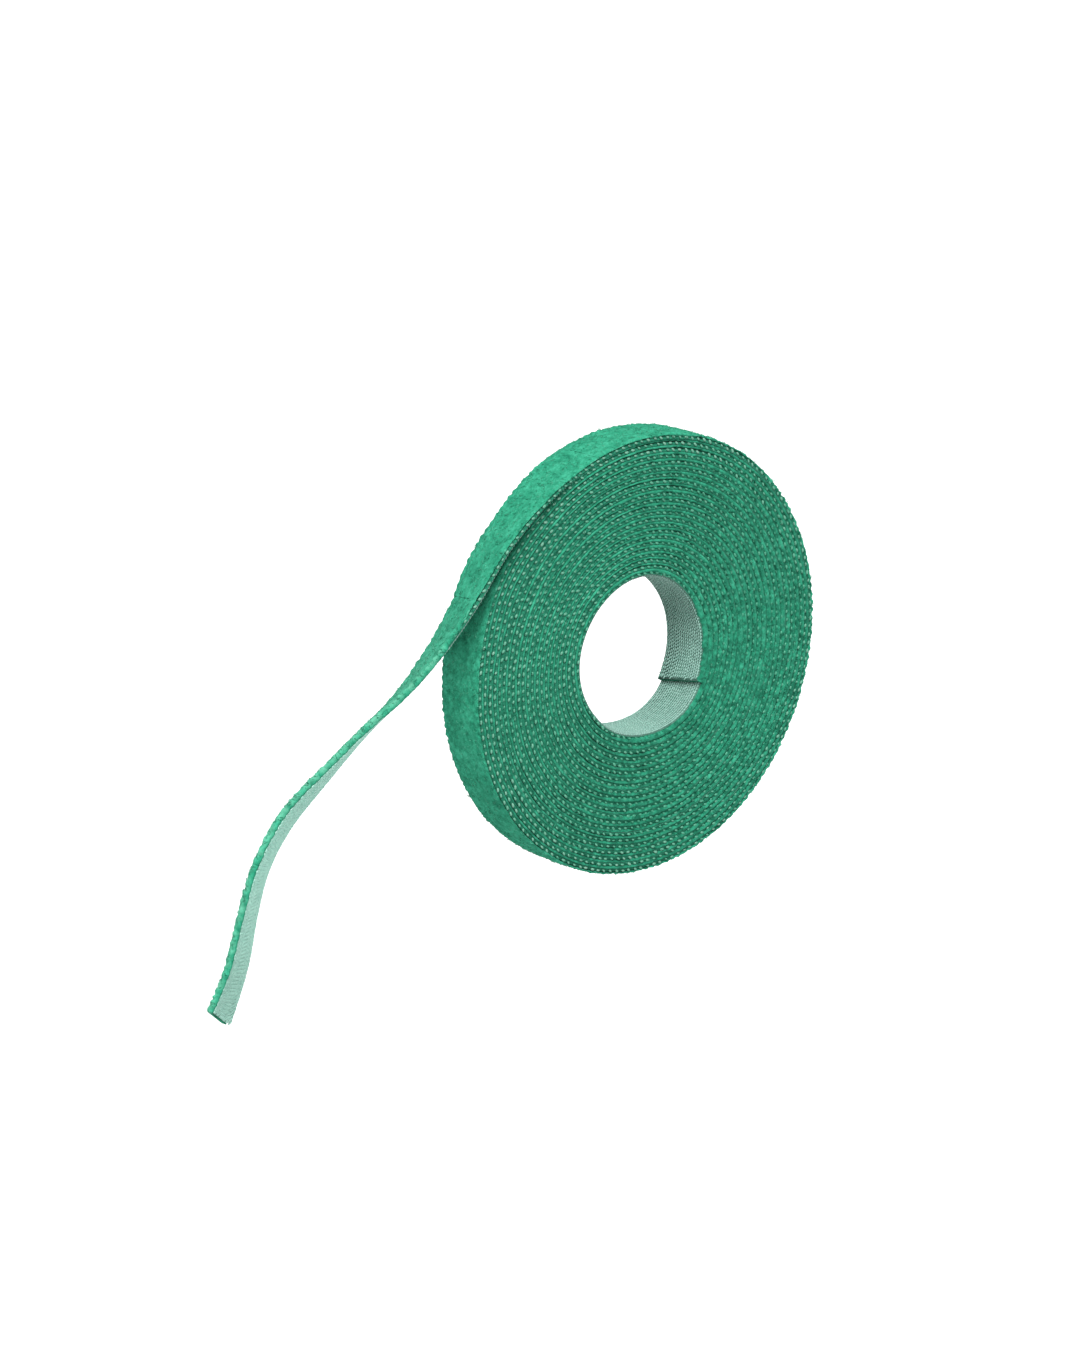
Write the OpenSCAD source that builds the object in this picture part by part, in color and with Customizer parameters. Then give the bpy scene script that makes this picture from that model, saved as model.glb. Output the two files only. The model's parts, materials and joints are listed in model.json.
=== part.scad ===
// Roll of back-to-back hook-and-loop plant tie tape, wound on itself with no
// core, with its free tail peeled off the rim and hanging in a slow twist.
// The roll's axis is Y, its front face looks along -Y, +Z is up, and the
// origin is the centre of the bore. All sizes are in millimetres.

/* [Tape] */
// Width of the tape
tape_w = 12; // [8:0.5:16]
// Thickness of the tape where its hooks are pressed into the loops below
tape_t = 1.38; // [1.1:0.02:1.4]
// Share of the thickness taken by the hook sheet, on the inner side
hook_share = 0.34; // [0.2:0.01:0.45]
// Share of the thickness taken by the bonding film in the middle
bond_share = 0.12; // [0.05:0.01:0.2]

/* [Roll] */
// Radius of the bore, which is the inner face of the first turn
bore_r = 17.5; // [15:0.5:19]
// Whole turns of tape, before the last part turn
full_turns = 22; // [22:1:22]
// Direction in which the inner end of the tape lies, from +X towards +Z
inner_end_angle = -31; // [-40:1:-20]
// Share of the first turn that is truly round, before it climbs the inner end
round_share = 0.78; // [0.76:0.01:0.85]
// Turns over which the bump left by the inner end dies away
bump_turns = 6; // [4:1:10]
// How far the outermost turn's centre lies from the bore's centre, along X
off_centre = 1.5; // [0:0.1:2]
// Flats in one turn of the wound layers
flats = 36; // [36:12:60]

/* [Tail] */
// Direction in which the tail leaves the rim
peel_angle = 115; // [110:1:116]
// Clear gap across each of the tail's bending lines
bend_gap = 0.8; // [0.6:0.1:1]
// Cross-sections between two points of the tail's route
rings_per_span = 5; // [3:1:8]

/* [Hidden] */

// Layers as shares of the thickness, from the hook side to the loop side
HOOK = [0, hook_share];
BOND = [hook_share, hook_share + bond_share];
LOOP = [hook_share + bond_share, 1];

hook_colour = [0.66, 0.78, 0.72];
bond_colour = [0.12, 0.40, 0.28];
loop_colour = [0.16, 0.62, 0.43];

// The wound part ends half a bend gap before the peel line
rim_r = bore_r + tape_t * (full_turns + 1.5);
end_angle = peel_angle - (bend_gap / 2) * 180 / (PI * rim_r);
turns = full_turns + (end_angle - inner_end_angle) / 360;
bore_cut = 0.6;         // the first turn's stock inside the bore's wall
bore_margin = 2;        // the bore's cutter past each face of the roll

// Route of the tail's middle line from the peel line to the cut end, as
// [x, y, z, twist in degrees]. The bending lines are at every second point.
ROUTE = [
    [-19.5,    0,    45,  0],
    [-29.5, -1.5,  39.5,  5],
    [-39.5, -2.5,  31.5, 13],
    [-47.5,   -3,  21.5, 20],
    [-55.5, -2.5,    12, 27],
    [  -65, -2.5,     4, 33],
    [  -75, -1.5,    -3, 40],
    [-84.5,   -1,   -10, 46],
    [-93.5,    0, -17.5, 52],
    [-100.5,   0, -26.5, 53],
    [ -104,  0.5,   -37, 54],
    [ -107,  0.5, -47.5, 58],
    [ -112,  0.5,   -58, 63]
];
spans = len(ROUTE) - 1;
spans_per_bend = 2;
span_length = 12;       // rounded distance between two points of the route

// --- Wound part -----------------------------------------------------------

// Smooth step from 0 to 1
function eased(u) = u <= 0 ? 0 : u >= 1 ? 1 : u * u * (3 - 2 * u);

// Climb within one turn: late over the inner end in the first turns, even
// further out
function climb(turn, u) =
    let (even = min(1, turn / bump_turns))
    (1 - even) * eased((u - round_share) / (1 - round_share)) + even * u;

// Layers of tape between the bore and the inner face of the tape at t turns
function layers_below(t) = floor(t) + climb(floor(t), t - floor(t));

// Point in the XZ plane on the face that lies the given share of the
// thickness outwards from the inner face, at t turns from the inner end
function wound_point(t, share) =
    let (
        below = layers_below(t),
        level = below + share * (layers_below(t + 1) - below),
        r = bore_r + tape_t * level - (level == 0 ? bore_cut : 0),
        a = inner_end_angle + 360 * t
    )
    [r * cos(a) + off_centre * level / full_turns, r * sin(a)];

// Turn counts at which a wound face has a corner, the cut end included
WOUND_STEPS = [each [0 : 1 / flats : turns], turns];

module wound_layer(shares) {
    rotate([90, 0, 0])
        linear_extrude(height = tape_w, center = true)
            polygon(concat(
                [for (t = WOUND_STEPS) wound_point(t, shares[1])],
                [for (i = [len(WOUND_STEPS) - 1 : -1 : 0])
                    wound_point(WOUND_STEPS[i], shares[0])]
            ));
}

module hook_sheet_roll() {
    color(hook_colour)
        difference() {
            wound_layer(HOOK);
            rotate([90, 0, 0])
                cylinder(r = bore_r, h = tape_w + bore_margin, center = true, $fn = 180);
        }
}

module bond_film_roll() {
    color(bond_colour) wound_layer(BOND);
}

module loop_pile_roll() {
    color(loop_colour) wound_layer(LOOP);
}

// --- Tail -----------------------------------------------------------------

// Point before the route, on the rim, and point after it, straight on
function route_at(i) =
    i < 0 ? [
        off_centre + rim_r * cos(peel_angle - span_length * 180 / (PI * rim_r)),
        0,
        rim_r * sin(peel_angle - span_length * 180 / (PI * rim_r)),
        0
    ] :
    i > spans ? 2 * ROUTE[spans] - ROUTE[spans - 1] : ROUTE[i];

// Smooth curve through the route's points, and its direction of travel
function route_point(s) =
    let (
        i = min(floor(s), spans - 1),
        u = s - i,
        p = route_at(i - 1), q = route_at(i), v = route_at(i + 1), w = route_at(i + 2)
    )
    0.5 * (2 * q + (v - p) * u + (2 * p - 5 * q + 4 * v - w) * u * u
        + (3 * q - p - 3 * v + w) * u * u * u);
function route_slope(s) =
    let (
        i = min(floor(s), spans - 1),
        u = s - i,
        p = route_at(i - 1), q = route_at(i), v = route_at(i + 1), w = route_at(i + 2)
    )
    0.5 * ((v - p) + 2 * (2 * p - 5 * q + 4 * v - w) * u
        + 3 * (3 * q - p - 3 * v + w) * u * u);

function place(p) = [p[0], p[1], p[2]];
function unit(v) = v / norm(v);

// Four corners of one layer's cross-section. "out" is the loop side's
// direction and "front" points to the tape's front edge.
function section(s, shares) =
    let (
        p = route_point(s),
        along = unit(place(route_slope(s))),
        flat_out = unit([along[2], 0, -along[0]]),
        flat_front = cross(flat_out, along),
        out = cos(p[3]) * flat_out - sin(p[3]) * flat_front,
        front = cos(p[3]) * flat_front + sin(p[3]) * flat_out,
        low = tape_t * (shares[0] - 0.5),
        high = tape_t * (shares[1] - 0.5)
    )
    [for (c = [[-1, low], [1, low], [1, high], [-1, high]])
        place(p) + front * c[0] * tape_w / 2 + out * c[1]];

// One layer of the tail between two of its bending lines. Piece 1 is next
// to the roll, and the last piece ends in the tape's cut end.
module tail_layer(piece, shares) {
    gap = bend_gap / 2 / span_length;
    start = (piece - 1) * spans_per_bend + gap;
    end = piece * spans_per_bend - (piece * spans_per_bend < spans ? gap : 0);
    rings = spans_per_bend * rings_per_span;
    points = [for (k = [0 : rings]) each section(start + (end - start) * k / rings, shares)];
    // Both broad faces are split along the same diagonal, so that the twisted
    // layers meet face to face. The pile side's corners run the other way.
    pile_side = 2;
    walls = [for (k = [0 : rings - 1], c = [0 : 3])
        let (a = 4 * k + c, b = 4 * k + (c + 1) % 4)
        each c == pile_side
            ? [[a, a + 4, b], [a + 4, b + 4, b]]
            : [[a, a + 4, b + 4], [a, b + 4, b]]];
    last = 4 * rings;
    polyhedron(
        points = points,
        faces = concat(
            walls,
            [[0, 1, 2], [0, 2, 3]],
            [[last, last + 2, last + 1], [last, last + 3, last + 2]]
        )
    );
}

module hook_sheet_tail(piece) {
    color(hook_colour) tail_layer(piece, HOOK);
}

module bond_film_tail(piece) {
    color(bond_colour) tail_layer(piece, BOND);
}

module loop_pile_tail(piece) {
    color(loop_colour) tail_layer(piece, LOOP);
}

hook_sheet_roll();
bond_film_roll();
loop_pile_roll();
hook_sheet_tail(1);  // hook_sheet_tail_1
bond_film_tail(1);  // bond_film_tail_1
loop_pile_tail(1);  // loop_pile_tail_1
hook_sheet_tail(2);  // hook_sheet_tail_2
bond_film_tail(2);  // bond_film_tail_2
loop_pile_tail(2);  // loop_pile_tail_2
hook_sheet_tail(3);  // hook_sheet_tail_3
bond_film_tail(3);  // bond_film_tail_3
loop_pile_tail(3);  // loop_pile_tail_3
hook_sheet_tail(4);  // hook_sheet_tail_4
bond_film_tail(4);  // bond_film_tail_4
loop_pile_tail(4);  // loop_pile_tail_4
hook_sheet_tail(5);  // hook_sheet_tail_5
bond_film_tail(5);  // bond_film_tail_5
loop_pile_tail(5);  // loop_pile_tail_5
hook_sheet_tail(6);  // hook_sheet_tail_6
bond_film_tail(6);  // bond_film_tail_6
loop_pile_tail(6);  // loop_pile_tail_6
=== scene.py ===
"""Looks of a roll of back-to-back hook-and-loop plant tie tape.

The tape is one long strip of three bonded layers: a hook sheet on the roll's inner side, a bonding
film, and a loop pile on the outer side. It is cut into stretches here. The wound stretches ride on
the roll, and each stretch of the free tail spans one of the tail's hinges and stays where it is built.
"""

import json
import logging
import math
from dataclasses import dataclass
from enum import Enum

import bpy
import numpy as np
from mathutils import Matrix, Vector


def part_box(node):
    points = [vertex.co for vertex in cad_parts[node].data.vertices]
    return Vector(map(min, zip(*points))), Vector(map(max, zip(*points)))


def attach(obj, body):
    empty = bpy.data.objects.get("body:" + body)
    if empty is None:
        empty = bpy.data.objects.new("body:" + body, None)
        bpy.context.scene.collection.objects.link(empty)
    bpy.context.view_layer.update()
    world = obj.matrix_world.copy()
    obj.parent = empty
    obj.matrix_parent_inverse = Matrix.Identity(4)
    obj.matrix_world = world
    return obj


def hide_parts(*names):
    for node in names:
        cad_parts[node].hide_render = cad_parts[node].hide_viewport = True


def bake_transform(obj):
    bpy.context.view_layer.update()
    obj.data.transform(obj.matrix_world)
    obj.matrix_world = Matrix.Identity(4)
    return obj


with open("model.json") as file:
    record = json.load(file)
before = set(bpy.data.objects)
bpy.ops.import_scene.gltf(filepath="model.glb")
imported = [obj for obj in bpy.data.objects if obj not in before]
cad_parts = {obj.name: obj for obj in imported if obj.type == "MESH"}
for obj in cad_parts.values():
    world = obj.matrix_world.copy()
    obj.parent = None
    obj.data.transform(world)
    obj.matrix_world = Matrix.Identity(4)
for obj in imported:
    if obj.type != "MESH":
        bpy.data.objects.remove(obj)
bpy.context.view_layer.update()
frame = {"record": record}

LOG = logging.getLogger("tie_tape")
MM = 0.001
TURN = 2 * math.pi


def eased(share: np.ndarray) -> np.ndarray:
    """Returns a smooth step of share, from 0 at 0 to 1 at 1."""
    held = np.clip(share, 0.0, 1.0)
    return held * held * (3 - 2 * held)


def hump(angle: np.ndarray, middle: float, reach: float, power: int = 2) -> np.ndarray:
    """Finds the height of a smooth hump on a circle.

    Args:
        angle: Directions, in radians.
        middle: The hump's direction, in degrees.
        reach: How far it reaches to each side, in degrees.
        power: How flat its top is, an even number.

    Returns:
        Numbers from 0 to 1.
    """
    away = (np.degrees(angle) - middle + 180) % 360 - 180
    return np.exp(-((away / reach) ** power))


def unit(vectors: np.ndarray) -> np.ndarray:
    """Returns the vectors at length 1."""
    return vectors / np.linalg.norm(vectors, axis=-1, keepdims=True)


class Side(Enum):
    """The tape's two long edges, with the sign of their direction across the tape."""

    FRONT = 1
    BACK = -1


class Face(Enum):
    """Which of a stretch's broad faces can be seen."""

    NONE = "none"
    HOOKS = "hooks"
    PILE = "pile"
    BOTH = "both"


class Wander:
    """A smooth random number from -1 to 1 that depends on one or two places."""

    CELLS = 512

    def __init__(self, seed: int) -> None:
        """Fills the table of random numbers from the seed."""
        self.table = np.random.default_rng(seed).uniform(-1, 1, (self.CELLS, self.CELLS))

    def at(self, first: np.ndarray, second: np.ndarray | float = 0.0) -> np.ndarray:
        """Looks the number up.

        Args:
            first: The first place, in cells of the noise.
            second: The second place, in cells of the noise.

        Returns:
            One number for each place.
        """
        first, second = np.broadcast_arrays(np.asarray(first, float), np.asarray(second, float))
        i, j = np.floor(first).astype(int), np.floor(second).astype(int)
        u, v = eased(first - i), eased(second - j)
        i0, i1, j0, j1 = (k % self.CELLS for k in (i, i + 1, j, j + 1))
        near = self.table[i0, j0] * (1 - v) + self.table[i0, j1] * v
        far = self.table[i1, j0] * (1 - v) + self.table[i1, j1] * v
        return near * (1 - u) + far * u


@dataclass(frozen=True)
class Tape:
    """Sizes of the tape itself, in metres, with its layers as shares of its thickness."""

    width: float
    thickness: float = 1.38 * MM
    hook_share: float = 0.34
    bond_share: float = 0.12
    stitch: float = 1.85 * MM
    hook_row: float = 0.63 * MM

    @property
    def half(self) -> float:
        """Returns half the tape's width."""
        return self.width / 2

    @property
    def pile_share(self) -> float:
        """Returns where the pile starts, as a share of the thickness."""
        return self.hook_share + self.bond_share


@dataclass(frozen=True)
class Winding:
    """The flat spiral that the tape is wound in, which repeats the part's own."""

    bore_radius: float
    thickness: float
    full_turns: int = 22
    inner_end: float = math.radians(-31)
    round_share: float = 0.78
    bump_turns: int = 6
    off_centre: float = 1.5 * MM
    peel_angle: float = math.radians(115)
    upper_bulge: float = 1.5 * MM
    lower_bulge: float = 0.6 * MM
    bore_pull: float = 0.2 * MM
    bulge_layers: int = 9
    rim_bulge: float = 0.8 * MM
    rim_bulge_from: int = 17
    rim_bulge_layers: int = 4

    @property
    def turns(self) -> float:
        """Returns the turns from the inner end to the peel line."""
        return self.full_turns + (self.peel_angle - self.inner_end) / TURN

    @property
    def rim_radius(self) -> float:
        """Returns the radius of the tape's middle where it leaves the rim."""
        return self.bore_radius + self.thickness * (self.full_turns + 1.5)

    def angle(self, turns: np.ndarray) -> np.ndarray:
        """Returns the direction from the bore's centre at that many turns."""
        return self.inner_end + TURN * turns

    def layers_below(self, turns: np.ndarray) -> np.ndarray:
        """Returns the layers of tape between the bore and the tape at that many turns."""
        whole = np.floor(turns)
        part = turns - whole
        even = np.minimum(1.0, whole / self.bump_turns)
        late = eased((part - self.round_share) / (1 - self.round_share))
        return whole + (1 - even) * late + even * part

    def slack(self, angle: np.ndarray, level: np.ndarray) -> np.ndarray:
        """Returns how far the turns, which are wound by hand, stand outside the true spiral.

        Args:
            angle: Directions from the bore's centre.
            level: Layers of tape below.
        """
        near_bore = 1 - eased(level / self.bulge_layers)
        near_rim = eased((level - self.rim_bulge_from) / self.rim_bulge_layers)
        upper = self.upper_bulge * hump(angle, middle=128, reach=72, power=4)
        lower = self.lower_bulge * hump(angle, middle=315, reach=25)
        under_tail = self.rim_bulge * hump(angle, middle=151, reach=14)
        return (upper + lower - self.bore_pull) * near_bore + under_tail * near_rim

    def points(self, turns: np.ndarray, share: float) -> np.ndarray:
        """Finds points on the tape's middle plane.

        Args:
            turns: Turns from the inner end.
            share: How far through the thickness, from the inner face.

        Returns:
            One point a row, in metres.
        """
        below = self.layers_below(turns)
        level = below + share * (self.layers_below(turns + 1) - below)
        angle = self.angle(turns)
        radius = self.bore_radius + self.thickness * level + self.slack(angle, level)
        x = radius * np.cos(angle) + self.off_centre * level / self.full_turns
        return np.stack([x, np.zeros_like(x), radius * np.sin(angle)], axis=-1)


# Route of the tail's middle line from the peel line to the cut end, in millimetres, with the
# twist in degrees. The hinges are at every second point, the cut end left out.
ROUTE = (
    (-19.5, 0, 45, 0),
    (-29.5, -1.5, 39.5, 5),
    (-39.5, -2.5, 31.5, 13),
    (-47.5, -3, 21.5, 20),
    (-55.5, -2.5, 12, 27),
    (-65, -2.5, 4, 33),
    (-75, -1.5, -3, 40),
    (-84.5, -1, -10, 46),
    (-93.5, 0, -17.5, 52),
    (-100.5, 0, -26.5, 53),
    (-104, 0.5, -37, 54),
    (-107, 0.5, -47.5, 58),
    (-112, 0.5, -58, 63),
)


@dataclass(frozen=True)
class Tail:
    """The free tail's route, which repeats the part's own."""

    winding: Winding
    span: float = 12 * MM

    @property
    def spans(self) -> int:
        """Returns the number of spans between the route's points."""
        return len(ROUTE) - 1

    def knots(self) -> np.ndarray:
        """Returns the route's points and twists, with one more on the rim and one past the end."""
        route = np.array(ROUTE, float)
        route[:, :3] *= MM
        back = self.winding.peel_angle - self.span / self.winding.rim_radius
        rim = self.winding.rim_radius
        before = [self.winding.off_centre + rim * math.cos(back), 0, rim * math.sin(back), 0]
        after = 2 * route[-1] - route[-2]
        return np.vstack([before, route, after])

    def curve(self, places: np.ndarray) -> tuple[np.ndarray, np.ndarray]:
        """Follows the smooth curve through the route's points.

        Args:
            places: Places along the route, counted in its points.

        Returns:
            The points with their twists, and the curve's slopes there.
        """
        knots = self.knots()
        i = np.minimum(np.floor(places).astype(int), self.spans - 1)
        u = (places - i)[:, None]
        p, q, v, w = (knots[i + k] for k in range(4))
        bend, swing = 2 * p - 5 * q + 4 * v - w, 3 * q - p - 3 * v + w
        points = 0.5 * (2 * q + (v - p) * u + bend * u**2 + swing * u**3)
        slopes = 0.5 * ((v - p) + 2 * bend * u + 3 * swing * u**2)
        return points, slopes[:, :3]


class TapeLine:
    """Where each place along the whole tape lies, from its inner end to its cut end."""

    STEP = 0.25 * MM
    SETTLE = 12 * MM
    SMOOTH = 20

    def __init__(self, tape: Tape, winding: Winding, tail: Tail) -> None:
        """Measures the spiral and the tail, and joins them at the peel line."""
        self.turns = winding.turns
        turns = np.linspace(0, winding.turns, 30_000)
        inner, outer = winding.points(turns, 0), winding.points(turns, 1)
        wound = self.lengths((inner + outer) / 2)
        self.peel = float(wound[-1])

        places = np.linspace(0, tail.spans, 1500)
        route, slopes = tail.curve(places)
        along = unit(slopes)
        twist = np.radians(route[:, 3:])
        flat_out = unit(np.stack([along[:, 2], 0 * along[:, 2], -along[:, 0]], axis=-1))
        flat_front = np.cross(flat_out, along)
        out = np.cos(twist) * flat_out - np.sin(twist) * flat_front
        front = np.cos(twist) * flat_front + np.sin(twist) * flat_out
        run = self.lengths(route[:, :3])
        step_off = (inner[-1] + outer[-1]) / 2 - route[0, :3]
        middle = route[:, :3] + step_off * (1 - eased(run / self.SETTLE))[:, None]
        free = self.peel + run
        self.length = float(free[-1])
        self.hinges = [float(np.interp(k, places, free)) for k in range(0, tail.spans, 2)]
        self.middles = [float(np.interp(k + 1, places, free)) for k in range(0, tail.spans, 2)]

        flat = np.tile([0.0, -1.0, 0.0], (len(turns) - 1, 1))
        columns = np.hstack([
            np.vstack([inner[:-1], middle - out * tape.thickness / 2]),
            np.vstack([(outer - inner)[:-1], out * tape.thickness]),
            np.vstack([flat, front]),
            np.concatenate([turns[:-1], winding.turns + 0 * run])[:, None],
        ])
        raw = np.concatenate([wound[:-1], free])
        self.places = np.arange(0, self.length + self.STEP, self.STEP)
        self.columns = np.stack([np.interp(self.places, raw, c) for c in columns.T], axis=-1)
        self.relax()

    @staticmethod
    def lengths(points: np.ndarray) -> np.ndarray:
        """Returns the distance along a line of points, from its first."""
        steps = np.linalg.norm(np.diff(points, axis=0), axis=1)
        return np.concatenate([[0.0], np.cumsum(steps)])

    def relax(self) -> None:
        """Evens out the route from just before the peel line to the cut end."""
        free = self.places > self.peel - self.SETTLE
        kernel = np.hanning(2 * self.SMOOTH + 3)[1:-1]
        kernel /= kernel.sum()
        for column in range(9):
            padded = np.pad(self.columns[:, column], self.SMOOTH, mode="reflect", reflect_type="odd")
            soft = np.convolve(padded, kernel, mode="valid")
            self.columns[free, column] = soft[free]

    def at(self, distances: np.ndarray) -> "Stations":
        """Returns the tape's stations at these distances from the inner end."""
        rows = np.stack([np.interp(distances, self.places, c) for c in self.columns.T], axis=-1)
        return Stations(distances, rows[:, :3], rows[:, 3:6], unit(rows[:, 6:9]), rows[:, 9])


@dataclass(frozen=True)
class Stations:
    """The tape's cross-sections at some distances: inner face's middle, thickness and front."""

    distance: np.ndarray
    inner: np.ndarray
    lift: np.ndarray
    front: np.ndarray
    turns: np.ndarray

    @property
    def out(self) -> np.ndarray:
        """Returns the pile side's direction."""
        return unit(self.lift)

    @property
    def along(self) -> np.ndarray:
        """Returns the direction towards the cut end."""
        return np.cross(self.front, self.out)

    def rings(self, across: np.ndarray, share: np.ndarray, raised: np.ndarray | float = 0.0) -> np.ndarray:
        """Places cross-sections.

        Args:
            across: Distances towards the front edge, a row for each station.
            share: Shares of the thickness, from the inner face.
            raised: Extra distances towards the pile side.

        Returns:
            The points, by station and then round the section.
        """
        raised = np.broadcast_to(raised, across.shape)
        return (
            self.inner[:, None] + self.lift[:, None] * share[..., None]
            + self.front[:, None] * across[..., None] + self.out[:, None] * raised[..., None]
        )


class Stock:
    """Collects the points and faces of one piece before its mesh is made."""

    def __init__(self) -> None:
        """Starts with nothing."""
        self.points: list[np.ndarray] = []
        self.marks: list[np.ndarray] = []
        self.faces: list[np.ndarray] = []
        self.finishes: list[np.ndarray] = []
        self.smooth: list[np.ndarray] = []
        self.count = 0

    def add(
        self, points: np.ndarray, marks: np.ndarray, faces: np.ndarray, finish: np.ndarray | int = 0,
        flat: int = 0,
    ) -> None:
        """Adds one closed body, or several alike.

        Args:
            points: The points, one a row.
            marks: Distance along the tape, across it and through it, and a tone, for each point.
            faces: Quads of the points' numbers.
            finish: The number of the finish among the piece's own, or one for each face.
            flat: How many of the last faces are flat ends.
        """
        a, b, c, d = (points[faces[:, k]] for k in range(4))
        volume = np.einsum("ij,ij->", (a + b + c + d) / 4, np.cross(c - a, d - b))
        self.faces.append((faces if volume > 0 else faces[:, ::-1]) + self.count)
        self.points.append(points)
        self.marks.append(marks)
        self.finishes.append(np.broadcast_to(finish, len(faces)).astype(np.int32))
        self.smooth.append(np.arange(len(faces)) < len(faces) - flat)
        self.count += len(points)

    def piece(self, name: str, finishes: list[bpy.types.Material]) -> bpy.types.Object:
        """Makes the piece's object.

        Args:
            name: The piece's name.
            finishes: The piece's materials.

        Returns:
            The new object, linked to the scene.
        """
        points, marks = np.vstack(self.points), np.vstack(self.marks)
        mesh = bpy.data.meshes.new(name)
        mesh.from_pydata(points, [], np.vstack(self.faces))
        place = mesh.attributes.new("tape", "FLOAT_VECTOR", "POINT")
        place.data.foreach_set("vector", marks[:, :3].astype(np.float32).ravel())
        tone = mesh.attributes.new("tone", "FLOAT", "POINT")
        tone.data.foreach_set("value", marks[:, 3].astype(np.float32))
        for finish in finishes:
            mesh.materials.append(finish)
        mesh.polygons.foreach_set("material_index", np.concatenate(self.finishes))
        mesh.polygons.foreach_set("use_smooth", np.concatenate(self.smooth))
        mesh.update()
        piece = bpy.data.objects.new(name, mesh)
        bpy.context.scene.collection.objects.link(piece)
        return piece


def tube_faces(rings: int, sides: int) -> np.ndarray:
    """Returns the quads of a closed tube: its walls and its two ends.

    Args:
        rings: Cross-sections along the tube.
        sides: Points in each, an even number.
    """
    r, s = np.meshgrid(np.arange(rings - 1), np.arange(sides), indexing="ij")
    here, onward = r * sides + s, r * sides + (s + 1) % sides
    walls = np.stack([here, onward, onward + sides, here + sides], axis=-1).reshape(-1, 4)
    k = np.arange(sides // 2 - 1)
    end = np.stack([k, sides - 1 - k, sides - 2 - k, k + 1], axis=-1)
    return np.vstack([walls, end, end[:, ::-1] + (rings - 1) * sides])


def marked(points: np.ndarray, *values: np.ndarray | float) -> np.ndarray:
    """Returns the marks of many small bodies.

    Args:
        points: The bodies' points, by body and then by point.
        values: The four marks, each one number, one for each body, or one for each point.
    """
    columns = (v[:, None] if np.ndim(v) == 1 else v for v in values)
    return np.stack([np.broadcast_to(v, points.shape[:2]) for v in columns], axis=-1)


def many(points: np.ndarray, marks: np.ndarray, faces: np.ndarray) -> tuple[np.ndarray, ...]:
    """Turns copies of one small body into one block for a Stock.

    Args:
        points: The points, by copy and then by point.
        marks: The marks, in the same order.
        faces: One copy's quads.

    Returns:
        The points, marks and faces of all the copies.
    """
    copies, size = points.shape[:2]
    shifts = (np.arange(copies) * size)[:, None, None]
    return points.reshape(-1, 3), marks.reshape(-1, 4), (faces[None] + shifts).reshape(-1, 4)


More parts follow.
